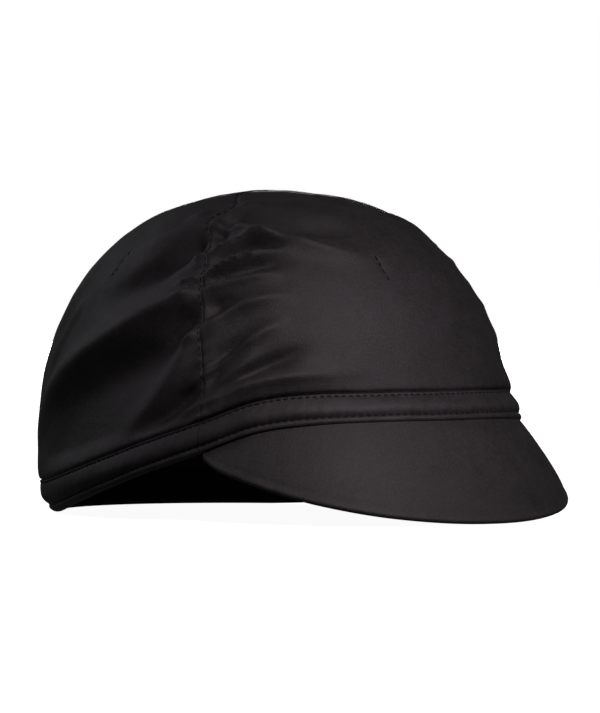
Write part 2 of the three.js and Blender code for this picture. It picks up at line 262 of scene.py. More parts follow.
def curve_through(places, values):
    """A smooth curve through a table, as a function of an array of places."""
    places, values = np.array(places, float), np.array(values, float)
    last = len(places) - 1

    def at(place):
        place = np.clip(np.asarray(place, float), places[0], places[-1])
        i = np.clip(np.searchsorted(places, place, side="right") - 1, 0, last - 1)
        start, end = places[i], places[i + 1]
        before = np.where(i > 0, i - 1, i + 1)
        after = np.where(i + 2 <= last, i + 2, i)
        bend_in = (end - start) / 2 / (start - places[before])
        bend_out = (end - start) / 2 / (places[after] - end)
        p = (place - start) / (end - start)
        return (
            values[before] * bend_in * (-(p**3) + 2 * p**2 - p)
            + values[i] * ((1 + bend_in) * p**3 - (1.5 + 2 * bend_in) * p**2 + (bend_in - 0.5) * p + 1)
            + values[i + 1] * (-(1 + bend_out) * p**3 + (1.5 + bend_out) * p**2 + 0.5 * p)
            + values[after] * bend_out * (p**3 - p**2)
        )

    return at


def smoothstep(x, low, high):
    x = np.clip((x - low) / (high - low), 0, 1)
    return x * x * (3 - 2 * x)


def bell(x, middle, half_width):
    """A smooth swelling of height 1."""
    return np.exp(-(((x - middle) / half_width) ** 2))


def crowded(count, crowding):
    """Steps from 0 to 1 that lie closer together towards both ends."""
    even = np.linspace(0, 1, count + 1)
    return even - crowding * np.sin(2 * np.pi * even) / (2 * np.pi)


def running_length(path):
    """Distance along a path of points from its first one."""
    return np.append(0, np.cumsum(np.linalg.norm(np.diff(path, axis=0), axis=1)))


def level(turn, out):
    """Level vectors of the lengths in out, pointing straight out of the cloth at each turn."""
    a = np.radians(turn)
    length = np.where(np.cos(a) > 0, FRONT_LENGTH, BACK_LENGTH)
    straight = np.stack([-np.sin(a) / HALF_WIDTH, -np.cos(a) / length, np.zeros_like(a)], -1)
    straight /= np.linalg.norm(straight, axis=-1, keepdims=True)
    return straight * np.asarray(out)[..., None]


def upward(rise):
    rise = np.asarray(rise, float)
    return np.stack([np.zeros_like(rise), np.zeros_like(rise), rise], -1)


rim_share = curve_through(RIM_TURNS, RIM_HEIGHTS)
seam_back = curve_through(SEAM_WAYS, SEAM_BACKS)
seam_wander = curve_through(WANDER_WAYS, WANDER_TURNS)
puff_height = curve_through(PUFF_TURNS, PUFF_HEIGHTS)


def half_circle(turn):
    """The same turn, within half a circle either way of the forehead."""
    return (np.asarray(turn, float) + 180) % 360 - 180


def peak_offset(depth, share):
    """How far out and down the peak's top has come at a share of its depth, and its slope there."""
    start = PEAK_SLOPE - PEAK_CAMBER / 2
    slope = start + PEAK_CAMBER * share
    out = depth / PEAK_CAMBER * (np.sin(slope) - math.sin(start))
    down = depth / PEAK_CAMBER * (math.cos(start) - np.cos(slope))
    return out, down, slope


def peak_depth(turn):
    return PEAK_DEPTH * (1 - (np.abs(turn) / SEAM_FOOT) ** PEAK_FULLNESS) ** PEAK_CORNERS


_, tip_down, tip_slope = peak_offset(PEAK_DEPTH, 1)
FOREHEAD_RISE = tip_down + PEAK_THICKNESS * math.cos(tip_slope) + SEAM_GAP
PEAK_END = SEAM_FOOT * (1 - (PEAK_END_DEPTH / PEAK_DEPTH) ** (1 / PEAK_CORNERS)) ** (1 / PEAK_FULLNESS)


def rim_height(turn):
    return np.maximum(0, FOREHEAD_RISE * rim_share(np.abs(turn)))


def hem_flare(turn):
    return HEM_FLARE * (1 - smoothstep(np.abs(turn), HEM_FLARE_TURN, SEAM_FOOT))


def hem_rise(turn):
    return np.sqrt(HEM_WIDTH**2 - hem_flare(turn) ** 2)


def section_share(height):
    """Size of the crown's level section at a height, as a share of its widest one."""
    below = 1 - NECK_TUCK * ((WIDEST_HEIGHT - height) / WIDEST_HEIGHT) ** 2
    share = np.clip((height - WIDEST_HEIGHT) / (CROWN_HEIGHT - WIDEST_HEIGHT), 0, 1)
    return np.where(height < WIDEST_HEIGHT, below, (1 - share**FULLNESS) ** (1 / FULLNESS))


def shell(turn, height):
    """Places on the crown's outside before any fold."""
    turn, height = np.broadcast_arrays(np.asarray(turn, float), np.asarray(height, float))
    a = np.radians(turn)
    size = section_share(height)
    x = -HALF_WIDTH * size * np.sin(a)
    y = -np.where(np.cos(a) > 0, FRONT_LENGTH, BACK_LENGTH) * size * np.cos(a)
    above = height > WIDEST_HEIGHT
    y = y + np.where(above, SEAM_CROSSING * (1 - size**2) ** 2, 0)
    plan = np.hypot(x / HALF_WIDTH, y / np.where(y < 0, FRONT_LENGTH, BACK_LENGTH))
    rise = np.clip(1 - plan**FULLNESS, 0, 1) ** (1 / FULLNESS)
    z = np.where(above, WIDEST_HEIGHT + (CROWN_HEIGHT - WIDEST_HEIGHT) * rise, height)
    return np.stack([x, y, z], -1)


def crown_height(turn, way):
    foot = rim_height(turn) + hem_rise(turn) - FOOT_TUCK
    return foot + (CROWN_HEIGHT - foot) * np.sin(np.pi / 2 * way)


def crown_out(turn, place):
    """The direction in which folds push the crown's cloth."""
    out = level(turn, section_share(place[..., 2]))
    out = out + upward((place[..., 2] - WIDEST_HEIGHT) / CROWN_HEIGHT)
    return out / np.linalg.norm(out, axis=-1, keepdims=True)


def smooth_line(points, steps):
    """A curve through the points, cut into straight pieces."""
    points = np.array(points)
    ends = np.vstack([2 * points[0] - points[1], points, 2 * points[-1] - points[-2]])
    line = []
    for a, b, c, d in zip(ends, ends[1:], ends[2:], ends[3:]):
        for t in np.arange(steps) / steps:
            line.append(0.5 * (2 * b + (c - a) * t + (2 * a - 5 * b + 4 * c - d) * t**2
                               + (3 * b - a - 3 * c + d) * t**3))
    return np.array(line + [points[-1]])


def fold_line(places):
    turns, shares = np.array(places, float).T
    return smooth_line(shell(turns, shares * CROWN_HEIGHT), FOLD_STEPS)


def fold_relief(points, outs, folds):
    """How far the folds push each point out of the plain shell."""
    relief = np.zeros(len(points))
    for rise, first_width, last_width, lean, places in folds:
        line = fold_line(places)
        reach = FOLD_REACH * max(first_width, last_width) * MM
        lowest, highest = line.min(0) - reach, line.max(0) + reach
        near = np.flatnonzero(np.all((points > lowest) & (points < highest), axis=1))
        spot, out = points[near], outs[near]
        closest = np.full(len(near), np.inf)
        along, side = np.zeros(len(near)), np.zeros(len(near))
        pieces = len(line) - 1
        for i, (start, end) in enumerate(zip(line, line[1:])):
            run = end - start
            part = np.clip((spot - start) @ run / (run @ run), 0, 1)
            gap = spot - start - part[:, None] * run
            distance = np.linalg.norm(gap, axis=1)
            closer = distance < closest
            closest = np.where(closer, distance, closest)
            along = np.where(closer, (i + part) / pieces, along)
            flank = np.einsum("ij,ij->i", np.cross(run, gap), out)
            side = np.where(closer, np.sign(flank), side)
        width = (first_width + (last_width - first_width) * along) * MM
        width *= 1 + lean * side * np.tanh(LEAN_GROWTH * closest / width)
        ends = smoothstep(along, 0, FOLD_FADES[0]) * smoothstep(1 - along, 0, FOLD_FADES[1])
        relief[near] += rise * MM * ends * bell(closest, 0, width)
    return relief


def ripple(points, scale, seed):
    """Soft unevenness between -1 and 1, with hollows and swellings about one scale across."""
    shift = Vector((seed, 2 * seed, -seed))
    return np.array([noise.noise(Vector(p) / scale + shift) for p in points])


def row_lengths(grid):
    """Distance along each row of a grid from its first column."""
    steps = np.linalg.norm(np.diff(grid, axis=1), axis=2)
    return np.hstack([np.zeros((len(grid), 1)), np.cumsum(steps, axis=1)])


# A crown panel's outside and inside, the direction out of it, and how far each of its points is along the
# row, up the column and from the nearer seam
Panel = namedtuple("Panel", "outside inside out run rise to_seam")


def crown_panel(turn, way, folds):
    """The panel whose rows lie at these ways and whose columns lie at these turns."""
    turn, way = np.broadcast_arrays(half_circle(turn), way)
    place = shell(turn, crown_height(turn, way))
    out = crown_out(turn, place)
    along_row = row_lengths(place)
    up_column = row_lengths(place.transpose(1, 0, 2)).T
    to_seam = np.minimum(along_row, along_row[:, -1:] - along_row)
    flat_place, flat_out = place.reshape(-1, 3), out.reshape(-1, 3)
    free = smoothstep(way, 0, FREE_WAY)
    held = SEAM_HOLD + (1 - SEAM_HOLD) * smoothstep(to_seam, 0, SEAM_HOLD_REACH)

    folded = free * held * fold_relief(flat_place, flat_out, folds).reshape(turn.shape)
    folded -= FOOT_INSET * (1 - smoothstep(up_column, FOOT_TUCK, FOOT_TUCK + FOOT_FADE))
    bag = np.maximum(0, up_column - FOOT_TUCK) / PUFF_REACH
    folded += puff_height(np.abs(turn)) * MM * bag * np.exp(1 - bag)

    uneven = sum(height * ripple(flat_place, across, seed) for height, across, seed in CROWN_UNEVENNESS)
    uneven = uneven.reshape(turn.shape) * free
    shift, across, seed = PUCKER_DRIFT
    drift = shift * ripple(flat_place, across, seed).reshape(turn.shape)
    pucker = np.sin(2 * np.pi * up_column / PUCKER_PITCH + drift)
    pucker *= SEAM_PUCKER * np.exp(-to_seam / SEAM_PUCKER_REACH)
    foot_pucker = np.sin(2 * np.pi * along_row / PUCKER_PITCH + FOOT_PUCKER_DRIFT * uneven)
    foot_pucker *= FOOT_PUCKER * np.exp(-up_column / FOOT_PUCKER_REACH)
    groove = SEAM_GROOVE * bell(to_seam, 0, SEAM_GROOVE_WIDTH)

    outside = place + out * (folded + uneven + pucker + foot_pucker - groove)[..., None]
    inside = place + out * (folded + uneven - CLOTH_THICKNESS)[..., None]
    middle = turn.shape[1] // 2
    run = along_row - along_row[:, middle:middle + 1]
    return Panel(outside, inside, out, run, up_column, to_seam)


def cloth_mesh(name, points, faces, run, rise, wear):
    """A cloth piece from its points and faces, laid out along its threads, with its worn places."""
    mesh = bpy.data.meshes.new(name)
    mesh.from_pydata(points.tolist(), [], faces)
    corners = np.zeros(len(mesh.loops), np.int32)
    mesh.loops.foreach_get("vertex_index", corners)
    layout = mesh.uv_layers.new(name="threads")
    layout.data.foreach_set("uv", np.stack([run, rise], -1)[corners].astype(np.float32).ravel())
    mesh.attributes.new("wear", "FLOAT", "POINT").data.foreach_set("value", wear.astype(np.float32))
    mesh.validate()
    shape = bmesh.new()
    shape.from_mesh(mesh)
    bmesh.ops.recalc_face_normals(shape, faces=shape.faces)
    shape.to_mesh(mesh)
    shape.free()
    mesh.shade_smooth()
    mesh.set_sharp_from_angle(angle=SHARP)
    piece = bpy.data.objects.new(name, mesh)
    bpy.context.scene.collection.objects.link(piece)
    return piece


def quads(a, b, c, d):
    return np.stack([a, b, c, d], -1).reshape(-1, 4).tolist()


def panel_body(name, panel, shift):
    """A crown panel as a closed wall of cloth. Its top row is one point."""
    outside, inside = panel.outside, panel.inside
    rows, columns = outside.shape[0] - 1, outside.shape[1]
    count = rows * columns
    outer = np.arange(count).reshape(rows, columns)
    inner = outer + count + 1
    top, under = count, 2 * count + 1
    points = np.vstack([
        outside[:-1].reshape(-1, 3), outside[-1].mean(0, keepdims=True),
        inside[:-1].reshape(-1, 3), inside[-1].mean(0, keepdims=True),
    ]) + shift
    faces = quads(outer[:-1, :-1], outer[1:, :-1], outer[1:, 1:], outer[:-1, 1:])
    faces += quads(inner[:-1, :-1], inner[:-1, 1:], inner[1:, 1:], inner[1:, :-1])
    for edge, turned in ((0, False), (-1, True)):
        ring = (outer[:-1, edge], inner[:-1, edge], inner[1:, edge], outer[1:, edge])
        faces += quads(*(ring[::-1] if turned else ring))
        last = [outer[-1, edge], inner[-1, edge], under, top]
        faces.append([int(v) for v in (last[::-1] if turned else last)])
    faces += quads(outer[0, :-1], outer[0, 1:], inner[0, 1:], inner[0, :-1])
    faces += [[int(a), top, int(b)] for a, b in zip(outer[-1, :-1], outer[-1, 1:])]
    faces += [[int(b), under, int(a)] for a, b in zip(inner[-1, :-1], inner[-1, 1:])]

    def spread(values):
        flat = np.append(values[:-1].ravel(), values[-1].mean())
        return np.tile(flat, 2)

    worn, worn_at, worn_width = SEAM_WEAR
    wear = worn * bell(panel.to_seam, worn_at, worn_width)
    return cloth_mesh(name, points, faces, spread(panel.run), spread(panel.rise), spread(wear))


def loop_body(name, loops, run, rise, wear, shift):
    """A closed strip from one loop of points for each column, with its two ends filled."""
    columns, around = loops.shape[:2]
    index = np.arange(columns * around).reshape(columns, around)
    after = np.roll(index, -1, axis=1)
    faces = quads(index[:-1], index[1:], after[1:], after[:-1])
    points = loops.reshape(-1, 3)
    ends = [0, -1]
    for end in ends:
        hub = len(points)
        points = np.vstack([points, loops[end].mean(0)])
        faces += [[int(a), int(b), hub] for a, b in zip(index[end], after[end])]

    def spread(values):
        values = np.broadcast_to(values, (columns, around))
        return np.concatenate([values.ravel(), values[ends].mean(1)])

    return cloth_mesh(name, points + shift, faces, spread(run), spread(rise), spread(wear))


def hem_place(turn, height, stand):
    """Places on the hem, by height above its lower edge and how far they stand out of its plain face."""
    way = height / HEM_WIDTH
    flare, rise = hem_flare(turn), hem_rise(turn)
    base = shell(turn, rim_height(turn) + rise * way) + level(turn, HEM_PROUD + flare * (1 - way))
    return base + (level(turn, rise) + upward(flare + 0 * way)) / HEM_WIDTH * np.asarray(stand)[..., None]


def even_turns(first, last, steps_per_stitch):
    """Turns that step evenly along the hem in whole stitches, with their distances from the first."""
    turns = np.linspace(first, last, HEM_MEASURING_STEPS)
    path = hem_place(half_circle(turns), 0.5 * HEM_WIDTH, np.zeros(len(turns)))
    length = running_length(path)
    marks = np.linspace(0, length[-1], round(length[-1] / STITCH_PITCH) * steps_per_stitch + 1)
    return np.interp(marks, length, turns), marks


def hem_stand(height, stand, phase, turn):
    """How far the hem's outside stands out, with a dip under each stitch and ripples between the rows."""
    around = np.radians(turn)
    stand = stand - HEM_DIP * np.cos(phase) * sum(bell(height, row, HEM_DIP_WIDTH) for row in HEM_ROWS)

    def drift(shift, times):
        return shift * np.sin(around * times)

    short = np.cos(phase / 2 + SHORT_RIPPLE_LEAN * height + drift(*SHORT_RIPPLE_DRIFT))
    long = np.sin(around * LONG_RIPPLES + drift(*LONG_RIPPLE_DRIFT))
    return stand + bell(height, *HEM_BODY) * (SHORT_RIPPLE * short + LONG_RIPPLE * long)


def hem_body(name, first, last, shift):
    turns, marks = even_turns(first, last, COLUMNS_PER_STITCH)
    turn = half_circle(turns)
    # The middle of a stitch is halfway between two whole pitches, and there the phase is a whole circle.
    phase = 2 * np.pi * (np.arange(len(marks)) / COLUMNS_PER_STITCH - 0.5)
    loops, rise, wear = [], [], []
    for height, stand in np.array(HEM_OUTSIDE) * MM:
        loops.append(hem_place(turn, height, hem_stand(height, stand, phase, turn)))
        rise.append(height)
        wear.append(sum(worn * bell(height, worn_at, width) for worn, worn_at, width in HEM_WEAR))
    for height, stand in np.array(HEM_INSIDE) * MM:
        loops.append(hem_place(turn, height, np.full(len(turn), stand)))
        rise.append(HEM_CLOTH_WIDTH - height)
        wear.append(0)
    return loop_body(name, np.stack(loops, 1), marks[:, None], np.array(rise), np.array(wear), shift)


def peak_body(name, shift):
    """The peak: its top from the hem to its edge, round the edge, and back underneath."""
    turn = np.linspace(-PEAK_END, PEAK_END, PEAK_COLUMNS + 1)
    depth = peak_depth(turn)
    radius = np.minimum(PEAK_THICKNESS / 2, depth * PEAK_EDGE_SHARE)
    root = shell(turn, rim_height(turn)) + level(turn, HEM_PROUD + hem_flare(turn) - PEAK_INSET)
    root = root - upward(np.full(len(turn), SEAM_GAP))

    def reach_at(share):
        """How far down the peak a row lies. The first rows are tucked up into the hem."""
        return share * (depth - radius) - PEAK_TUCK * (1 - share) ** PEAK_TUCK_FADE

    def place(reach, stand):
        """Places some way down the peak and out of its top face, with the slope and the normal there."""
        out, down, slope = peak_offset(depth, reach / depth)
        normal = level(turn, np.sin(slope)) + upward(np.cos(slope))
        face = root + level(turn, out) - upward(down)
        return face + normal * np.broadcast_to(stand, turn.shape)[:, None], slope, normal

    loops, rise, wear = [], [], []
    worn, worn_in, worn_width = PEAK_TOP_WEAR
    for share in np.linspace(0, 1, PEAK_ROWS + 1):
        reach = reach_at(share)
        loops.append(place(reach, -PEAK_GROOVE * bell(depth - reach, PEAK_GROOVE_IN, PEAK_GROOVE_WIDTH))[0])
        rise.append(reach)
        wear.append(worn * bell(depth - reach, worn_in, worn_width))
    middle, slope, normal = place(depth - radius, -PEAK_THICKNESS / 2)
    tangent = level(turn, np.cos(slope)) - upward(np.sin(slope))
    for a in math.pi * np.arange(1, EDGE_ROUNDING) / EDGE_ROUNDING:
        outward = tangent * (math.sin(a) * radius)[:, None]
        loops.append(middle + normal * math.cos(a) * PEAK_THICKNESS / 2 + outward)
        rise.append(depth - radius + a * radius)
        wear.append(np.full(len(turn), PEAK_EDGE_WEAR * math.cos(a / 2)))
    for share in np.linspace(1, 0, PEAK_ROWS // 2 + 1):
        loops.append(place(reach_at(share), -PEAK_THICKNESS)[0])
        rise.append(2 * depth - reach_at(share))
        wear.append(np.zeros(len(turn)))
    loops = np.stack(loops, 1)
    height, across, seed = PEAK_UNEVENNESS
    uneven = height * ripple(loops.reshape(-1, 3), across, seed).reshape(loops.shape[:2])
    loops = loops + level(turn, 1)[:, None, :] * uneven[..., None]
    run = running_length(root)[:, None]
    return loop_body(name, loops, run, np.stack(rise, 1), np.stack(wear, 1), shift)


class Shade:
    """A shader value of one material. Sums on it add Math nodes."""

    def __init__(self, tree, socket=None):
        self.tree, self.socket = tree, socket

    def node(self, kind, settings=None, sockets=None, output=0):
        """Any node: what it is, its settings, which are set first, and its sockets' values or links."""
        made = self.tree.nodes.new(kind)
        for key, value in (settings or {}).items():
            setattr(made, key, value)
        for key, value in (sockets or {}).items():
            if isinstance(value, Shade):
                self.tree.links.new(value.socket, made.inputs[key])
            else:
                made.inputs[key].default_value = value
        return Shade(self.tree, made.outputs[output]) if made.outputs else made

    def math(self, operation, *values):
        return self.node("ShaderNodeMath", {"operation": operation}, dict(enumerate(values)))

    def __add__(self, other):
        return self.math("ADD", self, other)

    __radd__ = __add__

    def __sub__(self, other):
        return self.math("SUBTRACT", self, other)

    def __rsub__(self, other):
        return self.math("SUBTRACT", other, self)

    def __mul__(self, other):
        return self.math("MULTIPLY", self, other)

    __rmul__ = __mul__


def new_material(name):
    material = bpy.data.materials.new(name)
    material.use_nodes = True
    material.node_tree.nodes.clear()
    return material, Shade(material.node_tree)


def show(shade, surface):
    shade.node("ShaderNodeOutputMaterial", None, {"Surface": surface})


CLOTH_ROUGHNESS = 0.62
CLOTH_GLOSS = 0.32
SLUBS = (260, 1500)  # unevenness of a thread along and across itself, per metre
LINT_CELLS = 105.0  # per metre; only the few cells that draw more than the next value hold a speck
LINT_DRAW = 0.955
LINT_RADIUS = 0.045  # as a share of a cell
LINT_COLOUR = (0.16, 0.155, 0.15, 1)
LINT_STRENGTH = 0.3
THREAD_COLOUR = (0.004, 0.0036, 0.0042)
THREAD_GLOSS = 0.12


def black_cloth(name, colour, thread_pitch, relief):
    """Plain-woven black cotton, with slubs in its threads, faded patches, worn edges and a little lint."""
    material, shade = new_material(name)
    threads = shade.node("ShaderNodeUVMap", {"uv_map": "threads"})
    spot = shade.node("ShaderNodeTexCoord", None, None, "Object")

    def uneven(scale, detail, stretch=(1, 1, 1), source=spot):
        stretched = shade.node("ShaderNodeMapping", None, {"Vector": source, "Scale": stretch})
        return shade.node("ShaderNodeTexNoise", None,
                          {"Vector": stretched, "Scale": scale, "Detail": detail, "Roughness": 0.55})

    # Warp and weft cross over and under each other, and none of the threads runs quite straight.
    drift = uneven(260, 1) * (0.9 * thread_pitch)

    def threads_across(axis):
        place = shade.node("ShaderNodeSeparateXYZ", None, {"Vector": threads}, axis) + drift
        return shade.math("COSINE", place * (2 * math.pi / thread_pitch))

    weave = threads_across("X") * threads_across("Y")
    slubs = uneven(1, 2, (*SLUBS, 1), threads) + uneven(1, 2, (*SLUBS[::-1], 1), threads) - 1
    faded = uneven(34, 3) - 0.5
    patches = uneven(120, 3) - 0.5
    mottle = uneven(420, 3) - 0.5
    grain = uneven(1500, 2) - 0.5
    worn = shade.node("ShaderNodeAttribute", {"attribute_name": "wear"}, None, "Fac")
    worn = worn * (patches * 3.4 + 0.7)

    light = 0.92 + faded * 0.4 + patches * 0.8 + mottle * 0.7 + grain * 1.4
    light = light + weave * 0.08 + slubs * 0.3 + worn * 0.32
    tone = shade.node("ShaderNodeVectorMath", {"operation": "SCALE"}, {0: colour, "Scale": light})

    # Lint is a few pale specks, each a small dot in one of many cells.
    def lint_cells(output):
        return shade.node("ShaderNodeTexVoronoi", {"feature": "F1"},
                          {"Vector": spot, "Scale": LINT_CELLS}, output)

    draw = shade.node("ShaderNodeSeparateColor", None, {"Color": lint_cells("Color")})
    speck = shade.math("LESS_THAN", lint_cells("Distance"), LINT_RADIUS)
    speck = speck * shade.math("GREATER_THAN", draw, LINT_DRAW)
    # Sockets 6 and 7 are a colour mix's two colours, and output 2 is its result.
    tone = shade.node("ShaderNodeMix", {"data_type": "RGBA"},
                      {"Factor": speck * LINT_STRENGTH, 6: tone, 7: LINT_COLOUR}, 2)

    height = weave * 0.5 + slubs * 1.1 + mottle * 1.1 + grain * 1.8
    bump = shade.node("ShaderNodeBump", None, {"Height": height, "Strength": relief, "Distance": 0.09 * MM})
    rough = CLOTH_ROUGHNESS + mottle * 0.2 + faded * 0.14 + patches * 0.14 - worn * 0.04
    show(shade, shade.node("ShaderNodeBsdfPrincipled", None, {
        "Base Color": tone, "Roughness": rough, "Normal": bump, "Specular IOR Level": CLOTH_GLOSS,
    }))
    return material


def thread_finish(name):
    """Twisted black sewing thread, darker and duller than the cloth."""
    material, shade = new_material(name)
    spot = shade.node("ShaderNodeTexCoord", None, None, "Object")
    twist = shade.node("ShaderNodeTexNoise", None, {"Vector": spot, "Scale": 2600.0, "Detail": 2.0})
    tone = shade.node("ShaderNodeVectorMath", {"operation": "SCALE"},
                      {0: THREAD_COLOUR, "Scale": 0.7 + twist * 0.6})
    bump = shade.node("ShaderNodeBump", None, {"Height": twist, "Strength": 0.5, "Distance": 0.05 * MM})
    show(shade, shade.node("ShaderNodeBsdfPrincipled", None, {
        "Base Color": tone, "Roughness": 0.8 + twist * 0.1, "Normal": bump,
        "Specular IOR Level": THREAD_GLOSS,
    }))
    return material


def stitch_tree(material):
    """Lays one stitch on every point, along the row and flat on the cloth."""
    tree = bpy.data.node_groups.new("sewn stitches", "GeometryNodeTree")
    plug = tree.interface.new_socket
    plug("Geometry", in_out="INPUT", socket_type="NodeSocketGeometry")
    for label, value in (("Stitch length", STITCH_LENGTH), ("Thread width", THREAD_WIDTH),
                         ("Unevenness", 0.08)):
        plug(label, in_out="INPUT", socket_type="NodeSocketFloat").default_value = value
    plug("Seed", in_out="INPUT", socket_type="NodeSocketInt").default_value = 7
    plug("Geometry", in_out="OUTPUT", socket_type="NodeSocketGeometry")

    def add(kind, settings=None, **sockets):
        node = tree.nodes.new(kind)
        for key, value in (settings or {}).items():
            setattr(node, key, value)
        for key, value in sockets.items():
            socket = node.inputs[key.replace("_", " ")]
            if isinstance(value, bpy.types.NodeSocket):
                tree.links.new(value, socket)
            else:
                socket.default_value = value
        return node

    given = add("NodeGroupInput").outputs
    along = add("GeometryNodeInputNamedAttribute", {"data_type": "FLOAT_VECTOR"}, Name="along").outputs[0]
    out = add("GeometryNodeInputNamedAttribute", {"data_type": "FLOAT_VECTOR"}, Name="out").outputs[0]
    lie = add("FunctionNodeAlignRotationToVector", {"axis": "X"}, Vector=along).outputs[0]
    lie = add("FunctionNodeAlignRotationToVector", {"axis": "Z", "pivot_axis": "X"},
              Rotation=lie, Vector=out).outputs[0]
    size = add("ShaderNodeCombineXYZ", X=given["Stitch length"], Y=given["Thread width"],
               Z=given["Thread width"]).outputs[0]
    bead = add("GeometryNodeMeshUVSphere", Segments=8, Rings=6, Radius=0.5).outputs["Mesh"]
    bead = add("GeometryNodeTransform", Geometry=bead, Rotation=(0, math.pi / 2, 0)).outputs[0]
    bead = add("GeometryNodeTransform", Geometry=bead, Scale=size).outputs[0]

    # A stitch's size lies between 1 less the unevenness and 1 plus it, the two ends of the float range.
    vary = add("FunctionNodeRandomValue", {"data_type": "FLOAT"}, Seed=given["Seed"])
    for operation, end in (("SUBTRACT", 2), ("ADD", 3)):
        limit = add("ShaderNodeMath", {"operation": operation})
        limit.inputs[0].default_value = 1
        tree.links.new(given["Unevenness"], limit.inputs[1])
        tree.links.new(limit.outputs[0], vary.inputs[end])
    sewn = add("GeometryNodeInstanceOnPoints", Points=given["Geometry"], Instance=bead, Rotation=lie,
               Scale=vary.outputs[1]).outputs[0]
    solid = add("GeometryNodeRealizeInstances", Geometry=sewn).outputs[0]
    solid = add("GeometryNodeSetMaterial", Geometry=solid, Material=material).outputs[0]
    add("NodeGroupOutput", Geometry=solid)
    return tree


def stitches(name, rows, tree, length):
    """One mesh of stitches from rows of (centres, directions along the row, directions out of the cloth)."""
    centres, along, out = (np.vstack(part) for part in zip(*rows))
    marks = bpy.data.meshes.new(name + "_marks")
    marks.from_pydata(centres.tolist(), [], [])
    for label, vectors in (("along", along), ("out", out)):
        values = marks.attributes.new(label, "FLOAT_VECTOR", "POINT")
        values.data.foreach_set("vector", vectors.astype(np.float32).ravel())
    guide = bpy.data.objects.new(name + "_guide", marks)
    bpy.context.scene.collection.objects.link(guide)
    sewing = guide.modifiers.new("sewing", "NODES")
    sewing.node_group = tree
    for item in tree.interface.items_tree:
        if item.in_out == "INPUT" and item.name == "Stitch length":
            sewing[item.identifier] = length
    evaluated = guide.evaluated_get(bpy.context.evaluated_depsgraph_get())
    mesh = bpy.data.meshes.new_from_object(evaluated)
    guide.modifiers.remove(sewing)
    bpy.data.objects.remove(guide)
    mesh.name = name
    mesh.shade_smooth()
    piece = bpy.data.objects.new(name, mesh)
    bpy.context.scene.collection.objects.link(piece)
    return piece


def directions(path):
    along = np.gradient(path, axis=0)
    return along / np.linalg.norm(along, axis=1, keepdims=True)


def spaced(marks, places, *tables):
    """Each table of vectors read at the marks, where places are those of its rows."""
    return [np.stack([np.interp(marks, places, column) for column in table.T], -1) for table in tables]


def hem_stitch_row(first, last, row, shift):
    turn = half_circle(even_turns(first, last, 2)[0])
    stand = np.interp(row, *(np.array(HEM_OUTSIDE).T * MM)) + HEM_THREAD_STAND
    path = hem_place(turn, row, np.full(len(turn), stand))
    middles = slice(1, None, 2)
    return path[middles] + shift, directions(path)[middles], level(turn, 1)[middles]


def seam_stitch_row(panel, edge, shift):
    """The row on the back panel, beside the seam that its first (0) or last (-1) column follows."""
    half = panel.outside.shape[1] // 2
    columns = slice(0, half) if edge == 0 else slice(-1, -half, -1)
    sewn = slice(SEAM_STITCHES_FROM, -SEAM_STITCHES_FROM)
    normals = panel.out[sewn, edge]
    path = np.array([
        [np.interp(SEAM_ROW, to_seam, places[:, axis]) for axis in range(3)]
        for to_seam, places in zip(panel.to_seam[sewn, columns], panel.outside[sewn, columns])
    ]) + normals * SEAM_THREAD_STAND
    length = running_length(path)
    count = round(length[-1] / STITCH_PITCH)
    marks = (np.arange(count) + 0.5) * length[-1] / count
    centres, along, out = spaced(marks, length, path, directions(path), normals)
    return centres + shift, along, out


def dart_row(panel, places, shift):
    """Stitches of a short dart, laid on the nearest cloth."""
    line = fold_line(places)
    cloth, outs = panel.outside.reshape(-1, 3), panel.out.reshape(-1, 3)
    nearest = [int(np.argmin(np.linalg.norm(cloth - spot, axis=1))) for spot in line]
    normals = outs[nearest]
    stand = np.einsum("ij,ij->i", cloth[nearest] - line, normals) + DART_THREAD_STAND
    path = line + normals * stand[:, None]
    marks = np.linspace(*DART_STITCHES_SPAN, DART_STITCHES) * (len(path) - 1)
    centres, along, out = spaced(marks, np.arange(len(path)), path, directions(path), normals)
    return centres + shift, along, out


def solids_place():
    """The shifts that lay the front and the back pieces on their solids, with a seam's gap between."""
    lowest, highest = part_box("hem_back")
    turn = half_circle(np.linspace(SEAM_FOOT, 360 - SEAM_FOOT, PLACING_STEPS + 1))[:, None]
    height = np.array([0, 0.5, 1]) * HEM_WIDTH
    stand = np.broadcast_to(np.array([0, 0.5, 0]) * MM, (len(turn), len(height)))
    foremost = hem_place(turn, height, stand)[..., 1].max()
    middle = np.array([(lowest[0] + highest[0]) / 2, highest[1] - foremost - SEAM_GAP / 2, 0])
    half_gap = np.array([0, SEAM_GAP / 2, 0])
    return middle - half_gap, middle + half_gap


ahead, behind = solids_place()

way = crowded(CROWN_ROWS, ROW_CROWDING)[:, None]
left_seam = SEAM_FOOT + seam_back(way)
right_seam = left_seam + seam_wander(way)
front_width = left_seam + right_seam + 2 * SEAM_LAP
back_width = 360 - left_seam - right_seam + 2 * SEAM_LAP
front_turn = -left_seam - SEAM_LAP + front_width * crowded(FRONT_COLUMNS, FRONT_CROWDING)
back_turn = right_seam - SEAM_LAP + back_width * crowded(BACK_COLUMNS, BACK_CROWDING)
folds = BACK_FOLDS + FRONT_FOLDS + crests_of(FRONT_FOLDS)
folds += on_the_left(BACK_FOLDS + FRONT_FOLDS) + DART_FOLDS
front_panel = crown_panel(front_turn, way, folds)
back_panel = crown_panel(back_turn, way, folds)

crown_front = panel_body("cap_crown_front", front_panel, ahead)
crown_back = panel_body("cap_crown_back", back_panel, behind)
hem_front = hem_body("cap_hem_front", -SEAM_FOOT, SEAM_FOOT, ahead)
hem_back = hem_body("cap_hem_back", SEAM_FOOT, 360 - SEAM_FOOT, behind)
peak = peak_body("cap_peak", ahead)

